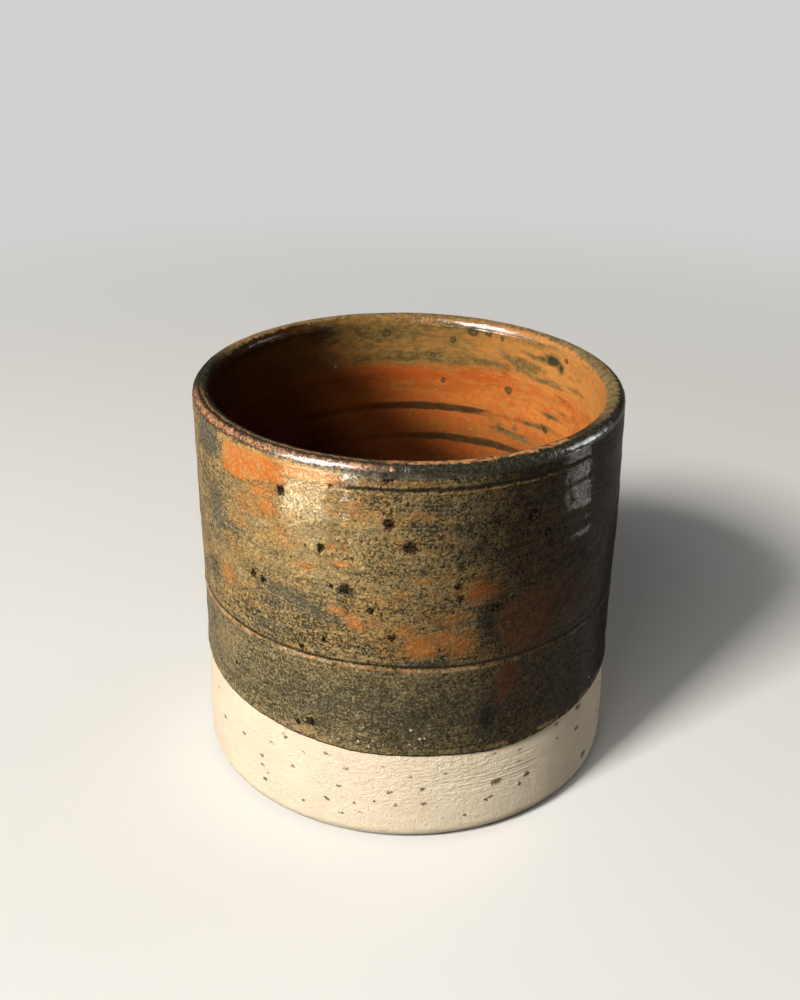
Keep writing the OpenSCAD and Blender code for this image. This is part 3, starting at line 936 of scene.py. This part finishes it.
def outside_look(f):
    """Colour, roughness, skin height and gloss of the speckled outside."""
    flat = f.flattened(2.4)
    cloud = f.twice_varied(f.field("cloud"), (0.2, 2.6, 4.0, 0.7, flat), (0.12, 0.9))
    calm = f.ramp(f.varied(f.field("calm"), 0.16, 3.0), 0.15, 0.8)
    crumbs = f.cells(0.38, f.warped(0.5, 0.2), out="Color")
    grain = f.noise(0.40, 3.0, 0.66)
    threads = f.line(f.noise(0.95, 2.5, 0.6, f.warped(2.5, 0.5)), 0.5, 0.045)
    medium = f.noise(1.7, 4.0, 0.65, f.flattened(1.4))
    broad = f.noise(8.0, 4.0, 0.62, flat)
    gold = f.noise(6.0, 5.0, 0.7, f.flattened(1.8, (0.11, 0.05, 0.02)))
    comb = f.noise(7.0, 4.0, 0.65, f.flattened(14))
    # The ground, with its orange patches
    ground = f.turning(broad, 0.38, 0.62, ochre, dull_ochre)
    ground = f.turning(gold, 0.48, 0.60, ground, amber, 0.6)
    ground = f.turning(gold, 0.46, 0.36, ground, grey_ochre, 0.6)
    ground = f.turning(medium, 0.47, 0.64, ground, brown_ochre, 0.5)
    orange_field = f.field("orange")
    ragged = f.twice_varied(orange_field, (0.2, 1.0, 5.0, 0.75), (0.16, 3.6))
    share = f.times(f.ramp(ragged, 0.32, 0.66), f.ramp(orange_field, 0.25, 0.8, 0.6, 1.0))
    vivid = f.turning(f.noise(2.4, 5.0, 0.7), 0.38, 0.62, bright_orange, soft_orange)
    dull = f.turning(f.noise(2.0, 4.0, 0.6, flat), 0.35, 0.65, rust_orange, tan_orange)
    orange = f.turning(f.varied(orange_field, 0.1, 1.5), 0.7, 1.0, dull, vivid)
    ground = f.mix(share, ground, orange)
    ground = f.turning(cloud, 0.1, 0.8, ground, cloud_ground, 0.75)
    ground = f.mix(f.times(f.field("low_zone"), 0.62), ground, low_ground)
    # The specks: crumbs, grain and threads, crowded in the clouds and sparse in the calm
    dark = f.turning(medium, 0.4, 0.6, olive_black, green_black)
    crowd = f.add(f.times_add(medium, 0.3, -0.15), f.times_add(broad, 0.3, -0.15))
    crowd = f.add(crowd, f.times(cloud, 0.22))
    crowd = f.add(crowd, f.times(calm, -0.12))
    crowd = f.add(crowd, f.times_add(comb, 0.4, -0.2))
    crowd = f.less(crowd, f.times(share, f.ramp(orange_field, 0.4, 1.0, 0.06, 0.34)))
    speck = f.add(f.add(f.times(crumbs, 0.36), f.times_add(grain, 0.84, -0.1)), crowd)
    speck = f.add(speck, f.times(threads, 0.12))
    clean = f.less(1.0, f.times(f.times(share, f.ramp(orange_field, 0.6, 1.1)), 0.94))
    deep = f.times(f.times(f.field("deep"), clean), f.times_add(f.field("low_zone"), -0.15, 1.0))
    veins = f.line(f.noise(1.5, 3.0, 0.6, f.warped(2.0, 0.6)), 0.5, 0.10)
    color = f.mix(f.times(f.ramp(speck, 0.44, 0.60, 0.0, 0.66), clean), ground, khaki)
    color = f.mix(f.times(f.ramp(speck, 0.59, 0.73, 0.0, 0.96), deep), color, dark)
    color = f.mix(f.times(f.times(veins, f.field("low_zone")), 0.28), color, vein_olive)
    color = f.mix(f.times(f.ramp(comb, 0.5, 0.64, 0.0, 0.28), deep), color, comb_brown)
    color = f.turning(cloud, 0.3, 1.0, color, cloud_olive, 0.55)
    thick_cloud = f.turning(grain, 0.42, 0.6, cloud_black, cloud_brown)
    color = f.turning(cloud, 1.0, 1.25, color, thick_cloud, 0.85)
    # The dark side, partly darker glaze and partly painted shade, and its red-brown patches
    side = f.varied(f.field("dark_shaded_side"), 0.1, 3.0)
    dusk = f.turning(grain, 0.4, 0.6, umber, deep_umber)
    color = f.turning(side, 0.0, 1.0, color, f.mix(0.84, color, dusk))
    # Partly darker glaze, partly painted light: the shade field darkens the colour, as painted
    # shade to the right and less where the painted sheen is on the left
    color = f.mix(f.field("shade"), (0.0, 0.0, 0.0), color)
    brown = f.turning(medium, 0.4, 0.6, red_brown, dull_red_brown)
    color = f.turning(f.varied(f.field("brown"), 0.2, 2.5), 0.3, 0.9, color, brown, 0.85)
    # The lower ring, dark in its groove, with a painted highlight along the roll under it, pale and
    # orange, that is broken and goes out in the painted shade and the dark side
    above = f.varied(f.field("above_low_ring"), 0.05, 1.2)
    broken = f.ramp(f.noise(2.4, 4.0, 0.7), 0.40, 0.50)
    color = f.mix(f.times(f.line(above, 0.05, 0.45), 0.85), color, low_ring_black)
    pale = f.turning(f.noise(5.0, 3.0), 0.45, 0.6, roll_highlight_pale, roll_highlight_orange)
    lit_part = f.times(f.field("shade"), f.less(1.0, side))
    color = f.mix(f.times(f.times(f.line(above, -0.66, 0.52), broken), lit_part), color, pale)
    # The upper ring, dark in its groove, with a painted highlight along the roll under it
    above = f.twice_varied(f.less(f.height_of(), high_ring), (0.11, 2.2), (0.06, 0.7))
    color = f.mix(f.times(f.line(above, 0.0, 0.62), f.field("ring_shade")), color, high_ring_black)
    lit = f.times(f.line(above, -0.62, 0.3), f.ramp(medium, 0.44, 0.54))
    color = f.mix(f.times(f.times(lit, f.field("ring_shade")), 0.5), color, lit_roll)
    # The rolled edge at the dip line
    edge = f.field("above_edge")
    rolled = f.line(f.varied(edge, 0.1, 1.0), 1.1, 0.75)
    rolled = f.times(rolled, f.ramp(f.noise(4.0, 3.0, 0.6), 0.46, 0.56))
    color = f.mix(f.times(f.times(rolled, f.field("shade")), 0.75), color, edge_tan)
    color = f.turning(edge, 0.7, 0.2, color, edge_black, 0.92)
    # The iron spots, healed over brown in the middle, and the painted glints of the beads
    iron = f.spots(iron_spots, glaze_r, f.warped(0.6, 0.9))
    healed = f.times(f.ramp(iron, 0.8, 1.0), f.ramp(f.noise(0.5, 2.0), 0.46, 0.6))
    color = f.mix(f.times(iron, 0.97), color, f.mix(healed, iron_black, iron_brown))
    beads = f.spots(edge_glint_beads, glaze_r, f.warped(0.4, 0.2))
    color = f.mix(f.times(beads, 0.8), color, glint_cream)
    # The skin is smooth in the orange, and the gloss goes out in the iron
    skin = f.add(f.times(speck, -0.5), f.times(f.noise(0.9, 2.0), 0.7))
    skin = f.times(f.less(skin, f.times(threads, 0.4)), f.times_add(clean, 0.7, 0.3))
    rough = f.ramp(f.noise(1.1, 3.0, 0.6), 0.3, 0.7, 0.35, 0.5)
    gloss = f.times(f.times_add(threads, -0.12, 0.2), f.less(1.0, iron))
    return color, rough, skin, gloss


# Colours of the inside: its wall, the right of it, the low wall darkened as painted shade, and the
# band at the top
warm_red, warm_brown = (0.40, 0.125, 0.024), (0.30, 0.088, 0.016)
right_orange, right_brown = (0.59, 0.20, 0.045), (0.47, 0.16, 0.038)
shaded_low_brown = (0.15, 0.052, 0.014)
top_brown, top_olive = (0.29, 0.14, 0.038), (0.17, 0.105, 0.033)
top_orange, top_tan = (0.62, 0.225, 0.05), (0.44, 0.22, 0.065)
# Its stains, rings, specks and spots, and the black of the painted shadow on the left
blush, straw, deep_red = (0.40, 0.09, 0.018), (0.30, 0.165, 0.048), (0.36, 0.072, 0.015)
olive, dark_olive, stain_black = (0.17, 0.125, 0.042), (0.09, 0.07, 0.028), (0.035, 0.033, 0.02)
ring_black, ring_brown, fleck = (0.032, 0.024, 0.011), (0.06, 0.038, 0.015), (0.08, 0.05, 0.02)
shadow_black, rim_black, spot_brown = (0.0165, 0.0042, 0.0012), (0.04, 0.033, 0.018), (0.17, 0.10, 0.04)


def inside_look(f):
    """Colour, roughness and skin height of the inside."""
    level = f.field("level")
    long = f.flattened(5.0)
    streak = f.noise(8.0, 5.0, 0.68, long)
    mottle = f.noise(2.2, 4.0, 0.65, f.flattened(2.4))
    right = f.field("right_in")
    # The wall, and the band at its top
    warm = f.turning(streak, 0.38, 0.62, warm_red, warm_brown)
    warm = f.mix(right, warm, f.turning(streak, 0.38, 0.62, right_orange, right_brown))
    # Painted shade: the wall darkens going down into the well
    warm = f.turning(level, 61.0, 48.0, warm, shaded_low_brown, 0.85)
    top = f.turning(mottle, 0.40, 0.6, top_brown, top_olive)
    top = f.mix(f.times(right, 0.9), top, f.turning(mottle, 0.35, 0.65, top_orange, top_tan))
    color = f.turning(f.varied(level, 1.6, 6.0, 5.0, 0.65, long), 66.5, 70.0, warm, top)
    # Cloudy blushes and straw, then the red and olive patches
    cloudy = f.noise(1.5, 4.0, 0.7, f.warped(3.0, 1.2))
    low_part = f.ramp(level, 69.0, 66.0, 0.0, 0.6)
    color = f.mix(f.times(f.ramp(cloudy, 0.46, 0.6), low_part), color, blush)
    color = f.turning(cloudy, 0.46, 0.36, color, straw, 0.55)
    red_field = f.twice_varied(f.field("red_in"), (0.3, 4.0, 5.0, 0.75, long), (0.12, 1.4))
    color = f.turning(red_field, 0.3, 1.1, color, deep_red, 0.85)
    olive_field = f.twice_varied(f.field("olive_in"), (0.16, 6.0, 5.0, 0.7, long), (0.07, 1.2))
    mixed_olive = f.turning(mottle, 0.4, 0.6, olive, dark_olive)
    color = f.turning(olive_field, 0.25, 0.95, color, mixed_olive, 0.85)
    color = f.turning(olive_field, 0.95, 1.25, color, stain_black, 0.9)
    # Dark glaze in the rings, and fine flecks
    ring_field = f.field("ring_in")
    ring_field = f.twice_varied(ring_field, (0.2, 6.0, 4.0, 0.6, long), (0.14, 1.3, 4.0, 0.7))
    ring_color = f.turning(mottle, 0.4, 0.6, ring_black, ring_brown)
    color = f.turning(ring_field, 0.35, 1.15, color, ring_color, 0.92)
    fine = f.add(f.noise(0.7, 3.0, 0.6), f.ramp(olive_field, 0.2, 0.9, -0.1, 0.04))
    color = f.mix(f.times(f.ramp(fine, 0.52, 0.66), 0.45), color, fleck)
    # The painted shadow on the left, then the spots with their rims
    color = f.mix(f.field("shadow_left_in"), color, f.mix(0.93, color, shadow_black))
    rims, spots = [
        f.spots([(180 - a, z, size * r) for a, z, r in inside_spots], well_r, f.warped(0.7, 0.5))
        for size in (1.5, 0.7)]
    color = f.mix(f.times(rims, 0.8), color, rim_black)
    spots = f.times(spots, f.ramp(f.noise(0.6, 2.0), 0.42, 0.56, 0.1, 0.9))
    color = f.mix(spots, color, spot_brown)
    skin = f.add(f.noise(0.8, 3.0, 0.55), f.times(f.noise(2.4, 2.0), 0.9))
    rough = f.ramp(f.noise(1.6, 3.0, 0.6), 0.3, 0.7, 0.38, 0.5)
    return color, rough, skin


def outer_material():
    """The dipped glaze outside, semi-gloss over the speckle."""
    f = Finish("speckled_glaze")
    color, rough, skin, gloss = outside_look(f)
    f.glassy(f.bump(skin, 0.009), gloss)
    return f.finish(color, rough, f.bump(skin, 1.0))


def liner_material():
    """The poured glaze inside."""
    f = Finish("amber_liner")
    color, rough, skin = inside_look(f)
    f.glassy(f.bump(skin, 0.04))
    return f.finish(color, rough, f.bump(skin, 0.1))


# Colours of the lip
lip_black, lip_olive = (0.018, 0.018, 0.012), (0.052, 0.046, 0.028)
copper, burnt_copper, brown_copper = (0.50, 0.235, 0.12), (0.06, 0.035, 0.02), (0.09, 0.06, 0.038)
copper_line, drop_copper = (0.30, 0.14, 0.06), (0.62, 0.30, 0.15)
tan_bright, tan_dull = (0.50, 0.225, 0.085), (0.22, 0.12, 0.05)
worn_ochre, worn_olive, worn_dark = (0.27, 0.185, 0.085), (0.13, 0.10, 0.045), (0.07, 0.052, 0.028)
crest_pink, inner_black = (0.42, 0.215, 0.13), (0.016, 0.011, 0.008)


def lip_material():
    """The lip: near black, worn to copper on the left of the front, where the copper is partly a
    painted glint of the lamp, with a tan edge on the right of it, and mottled olive and pink round
    the back. across runs from 0 on its outside to 1 on its inside."""
    f = Finish("dark_lip")
    color_out, _, skin_out, _ = outside_look(f)
    color_in, _, skin_in = inside_look(f)
    across = f.varied(f.field("across"), 0.03, 1.0)
    fine = f.noise(0.45, 3.0, 0.65)
    mottle = f.noise(1.3, 4.0, 0.7)
    worn, faded, thin = f.field("copper"), f.field("faded"), f.field("thin_back")
    dark = f.turning(fine, 0.45, 0.62, lip_black, lip_olive)
    color = f.turning(f.varied(across, 0.04, 0.8), 0.0, 0.12, color_out, dark)
    # Copper on the left of the front, partly glaze worn to copper and partly a painted glint of the
    # lamp, and a thin line along the crest
    rust = f.turning(fine, 0.50, 0.57, copper, burnt_copper)
    rust = f.turning(mottle, 0.47, 0.6, rust, brown_copper, 0.85)
    color = f.mix(f.times(f.line(across, 0.22, 0.15), worn), color, rust)
    crest = f.times(f.times(f.line(across, 0.47, 0.05), worn), f.ramp(mottle, 0.6, 0.5, 0.2, 0.8))
    color = f.mix(crest, color, copper_line)
    # The tan edge on the right of the front
    tan = f.turning(mottle, 0.42, 0.58, tan_bright, tan_dull)
    band = f.ramp(f.varied(across, 0.03, 1.6), 0.36, 0.44)
    band = f.times(band, f.ramp(mottle, 0.62, 0.52, 0.25, 1.0))
    color = f.mix(f.times(band, f.field("tan_edge")), color, tan)
    # Round the back the dark is worn away, with a pink line along the crest
    gone = f.turning(mottle, 0.40, 0.62, worn_ochre, worn_olive)
    gone = f.turning(fine, 0.52, 0.66, gone, worn_dark, 0.6)
    crest = f.times(f.line(across, 0.42, 0.1), thin)
    gone = f.mix(f.times(crest, f.ramp(mottle, 0.6, 0.45, 0.4, 0.95)), gone, crest_pink)
    reach = f.add(f.varied(across, 0.06, 0.9), f.times(thin, 0.14))
    color = f.mix(f.times(f.ramp(reach, 0.34, 0.46), faded), color, gone)
    inner = f.add(f.varied(across, 0.05, 1.1), f.times(faded, -0.08))
    inner = f.add(inner, f.times(thin, 0.20))
    color = f.turning(inner, 0.60, 0.64, color, f.mix(faded, inner_black, gone))
    color = f.turning(inner, 0.74, 0.84, color, color_in)
    color = f.mix(f.spots(lip_drop, glaze_r, f.warped(0.6, 0.4)), color, drop_copper)
    skin = f.add(skin_out, f.times(skin_in, 0.5))
    f.glassy(f.bump(skin, 0.03), f.times_add(f.field("shadow_left_in"), -0.38, 0.46), 0.15)
    return f.finish(color, 0.35, f.bump(skin, 0.2))


# Grains and rusty chips in the bare band: angle, height and radius. Round the back they are
# strewn by a rule
clay_grains = [
    (-33.5, 19, 0.55), (-21.2, 18.4, 0.55), (-27.8, 17.2, 0.35), (-15.5, 16, 0.4), (-31, 13.1, 0.4),
    (-17.6, 11.7, 0.4), (-4.2, 11.6, 0.45), (-21.2, 8, 0.5), (-13.5, 8.4, 0.3), (-8.2, 9.5, 0.35),
    (-17, 5.4, 0.4), (-2.5, 8.6, 0.4), (1.2, 15.3, 0.4), (4.2, 12.5, 0.55), (4.7, 9, 0.55),
    (10.2, 15.5, 0.45), (23.3, 18.2, 0.4), (24.4, 11.5, 1), (22.8, 8.4, 0.5), (21.4, 7.8, 0.45),
    (31.5, 17.2, 0.5), (31, 14.6, 0.4), (34, 10.7, 0.75), (31.6, 9.1, 0.45), (44.5, 19, 0.6),
    (54.8, 19, 0.9), (54.5, 14.1, 0.7), (60, 5.1, 0.9), (45, 15.4, 0.5), (-42.3, 11.9, 0.5),
    (-42, 9.8, 0.45), (-41.4, 6.6, 0.5), (-50, 14.1, 0.5), (-61, 13.2, 0.6), (-38.5, 16.2, 0.4),
    (-40, 8.4, 0.3), (-12, 6.2, 0.3), (-28, 5.8, 0.35), (15.8, 5.1, 0.35), (-66.5, 18, 0.5),
]
clay_grains += [(72 + 137.5 * i % 216, 3 + 7.9 * i % 16, 0.3 + 0.45 * (0.618 * i % 1) ** 2)
                for i in range(44)]
clay_chips = [
    (-33.4, 21, 0.4), (-34.2, 19.5, 0.45), (-21, 18.6, 0.45), (-6, 17.4, 0.25), (-31.4, 13, 0.3),
    (95, 20, 0.4), (162, 22, 0.5), (-120, 19, 0.4),
]

# How far from the axis the grains lie, and how much flatter than wide they are
grain_r = 42.2
grain_flat = 1.7

# Colours of the bare clay
cream_light, cream_dark = (0.79, 0.675, 0.495), (0.75, 0.625, 0.455)
cream_shade = (0.58, 0.46, 0.30)
small_brown, chip_rust = (0.30, 0.20, 0.11), (0.46, 0.20, 0.09)
grain_brown, grain_black = (0.20, 0.12, 0.05), (0.065, 0.045, 0.02)


def clay_material():
    """The bare stoneware: cream, with small dots, dark grains, chips and the tool's chatter."""
    f = Finish("bare_stoneware")
    cream = f.turning(f.noise(9.0, 3.0, 0.6), 0.35, 0.65, cream_light, cream_dark)
    cream = f.turning(f.noise(0.9, 4.0, 0.7), 0.5, 0.72, cream, cream_shade, 0.35)
    place = f.warped(0.9, 0.35)
    near = f.ramp(f.cells(2.6, place), 0.11, 0.04)
    chosen = f.ramp(f.cells(2.6, place, out="Color"), 0.5, 0.9)
    color = f.mix(f.times(f.times(near, chosen), 0.6), cream, small_brown)
    flat = f.flattened(grain_flat, place=f.warped(0.6, 0.7))
    grains, chips = [
        f.spots([(a, grain_flat * z, size * r) for a, z, r in rows], grain_r, flat)
        for rows, size in ((clay_grains, 1.45), (clay_chips, 1.5))]
    dark = f.turning(f.noise(4.0, 3.0), 0.42, 0.58, grain_brown, grain_black)
    color = f.mix(f.times(grains, 0.92), color, dark)
    color = f.mix(f.times(chips, 0.8), color, chip_rust)
    skin = f.add(f.noise(0.4, 4.0, 0.65), f.times(f.noise(1.3, 3.0), 0.8))
    ridges = f.noise(1.4, 2.5, 0.6, f.flattened(2.2, place=f.warped(2.0, 0.4)))
    ridges = f.times(f.ramp(ridges, 0.35, 0.65), f.field("chatter"))
    skin = f.add(skin, f.times(ridges, 0.5))
    f.shader.inputs["Specular IOR Level"].default_value = 0.1
    return f.finish(color, 0.8, f.bump(skin, 0.25))


def set_axes(body, side, up, away, place):
    """Puts a lamp or the camera at a place, with its own axes along these three directions."""
    matrix = np.eye(4)
    matrix[:3] = np.stack([side, up, away, place], 1)
    body.matrix_world = Matrix(matrix.tolist())
    bpy.context.scene.collection.objects.link(body)


def add_light(name, place, target, width, tall, power, color=(1, 1, 1)):
    """A soft rectangular lamp at a place, turned towards a target, both in metres."""
    lamp = bpy.data.lights.new(name, "AREA")
    lamp.shape = "RECTANGLE"
    lamp.size = width
    lamp.size_y = tall
    lamp.energy = power
    lamp.color = color
    body = bpy.data.objects.new(name, lamp)
    body.visible_camera = False
    away = np.array(place, float) - np.array(target, float)
    away /= np.linalg.norm(away)
    side = np.cross([0, 0, 1.0], away)
    side /= np.linalg.norm(side)
    set_axes(body, side, np.cross(away, side), away, place)
    return body


def add_card(*light):
    """A card of light that shows only as a highlight in the glaze."""
    body = add_light(*light)
    body.data.spread = math.radians(70)
    body.visible_diffuse = False


def add_camera():
    """The photograph's viewpoint, found by fitting the cup's outlines."""
    camera = bpy.data.cameras.new("camera")
    camera.lens = 46.8
    camera.clip_start = 0.01
    body = bpy.data.objects.new("camera", camera)
    pitch = math.radians(26.13)
    roll = math.radians(0.464)
    away = np.array([0, -math.cos(pitch), math.sin(pitch)])
    up = np.array([0, math.sin(pitch), math.cos(pitch)])
    right = np.array([1.0, 0, 0])
    rolled_right = math.cos(roll) * right + math.sin(roll) * up
    rolled_up = -math.sin(roll) * right + math.cos(roll) * up
    set_axes(body, rolled_right, rolled_up, away, (-0.00159, -0.23838, 0.16962))
    bpy.context.scene.camera = body


# The background, and the floor as it looks and as it throws light back. In metres, half the
# floor's width, and how far from the cup it starts and ends melting into the background
pale_background = (0.64, 0.64, 0.63)
floor_pale, floor_dim = (0.66, 0.66, 0.65), (0.25, 0.25, 0.25)
floor_half = 6.0
floor_fade = (0.16, 0.5)


def add_floor():
    """A pale floor. It looks pale to the camera and in gloss, and throws less light back up. Far
    from the cup the camera sees it melt into the pale background."""
    mesh = bpy.data.meshes.new("floor")
    corners = [(floor_half * x, floor_half * y, 0) for x, y in ((-1, -1), (1, -1), (1, 1), (-1, 1))]
    mesh.from_pydata(corners, [], [(0, 1, 2, 3)])
    floor = bpy.data.objects.new("floor", mesh)
    f = Finish("pale_floor")
    ray = f.nodes.new("ShaderNodeLightPath").outputs
    seen = f.math("MAXIMUM", ray["Is Camera Ray"], ray["Is Glossy Ray"])
    seen = f.math("MAXIMUM", seen, ray["Is Transmission Ray"])
    f.shader.inputs["Specular IOR Level"].default_value = 0.0
    far = f.ramp(f.vector("DISTANCE", f.place, (0, 0, 0)), *floor_fade)
    far = f.times(far, ray["Is Camera Ray"])
    f.shader.inputs["Emission Color"].default_value = (*pale_background, 1)
    f.put(f.shader.inputs["Emission Strength"], far)
    lit = f.mix(seen, floor_dim, floor_pale)
    mesh.materials.append(f.finish(f.mix(far, lit, (0, 0, 0)), 0.8))
    bpy.context.scene.collection.objects.link(floor)


def add_world():
    """A dim even light from all round, which looks pale to the camera."""
    world = bpy.data.worlds.new("studio")
    bpy.context.scene.world = world
    world.use_nodes = True
    tree = world.node_tree
    back = tree.nodes["Background"]
    back.inputs["Color"].default_value = (0.95, 0.98, 1.0, 1.0)
    back.inputs["Strength"].default_value = 0.05
    pale = tree.nodes.new("ShaderNodeBackground")
    pale.inputs["Color"].default_value = (*pale_background, 1)
    pale.inputs["Strength"].default_value = 1.0
    ray = tree.nodes.new("ShaderNodeLightPath")
    choice = tree.nodes.new("ShaderNodeMixShader")
    tree.links.new(ray.outputs["Is Camera Ray"], choice.inputs["Fac"])
    tree.links.new(back.outputs["Background"], choice.inputs[1])
    tree.links.new(pale.outputs["Background"], choice.inputs[2])
    tree.links.new(choice.outputs["Shader"], tree.nodes["World Output"].inputs["Surface"])


def round_place(azimuth, elevation, distance):
    """A point round the middle of the cup, azimuth degrees left of the front."""
    a, e = math.radians(azimuth), math.radians(elevation)
    x, y = -distance * math.sin(a) * math.cos(e), -distance * math.cos(a) * math.cos(e)
    return (x, y, cup_middle[2] + distance * math.sin(e))


cup_middle = (0, 0, 0.04)
lip_middle = (0, 0, 0.078)
daylight, soft_white = (1.0, 0.955, 0.885), (1.0, 0.97, 0.94)

# The lamp, and two fills that don't show in the gloss: name, place, size, power and colour
lamps = [
    ("key", round_place(43, 39, 1.2), 0.26, 21.6, daylight),
    ("front_fill", round_place(28, 42, 1.2), 0.5, 3.6, soft_white),
    ("right_fill", round_place(-120, 25, 1.2), 0.5, 2.5, soft_white),
]

# The cards, the far two as windows and the near four as glints: name, place, target, width,
# height, power and colour
cards = [
    ("window_card", round_place(52, 32, 1.0), lip_middle, 0.5, 0.9, 24.0),
    ("right_window_card", (0.9, 0.14, 0.2), (0.04, 0, 0.078), 0.35, 0.45, 2.5),
    ("left_card", (-0.0935, -0.0878, 0.0273), (-0.01845, -0.03785, 0.071), 0.05, 0.0085, 0.0165,
     (1.0, 0.83, 0.56)),
    ("band_card", (-0.0820, -0.0980, 0.0362), (-0.0163, -0.0389, 0.078), 0.062, 0.0035, 0.009,
     (1.0, 0.86, 0.62)),
    ("streak_card", (-0.0568, -0.1179, 0.0345), (-0.0111, -0.0405, 0.0775), 0.012, 0.006, 0.0045,
     (0.8, 0.9, 1.0)),
    ("right_card", (0.136, -0.009, 0.026), (0.0294, -0.0294, 0.072), 0.038, 0.018, 0.0024,
     (1.0, 0.97, 0.9)),
]

add_camera()
add_world()
add_floor()
for name, place, size, power, color in lamps:
    lamp = add_light(name, place, cup_middle, size, size, power, color)
    lamp.visible_glossy = name == "key"
for card in cards:
    add_card(*card)

body = make_clay()
body.data.materials.append(clay_material())
outer = make_outer_glaze()
outer.data.materials.append(outer_material())
lip = make_lip_glaze()
lip.data.materials.append(lip_material())
liner = make_liner_glaze()
liner.data.materials.append(liner_material())
slots = ((body, "stoneware"), (outer, "outer_glaze"), (lip, "lip_glaze"), (liner, "liner_glaze"))
for piece, slot in slots:
    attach(piece, "root")

bpy.context.scene.view_settings.view_transform = "Standard"
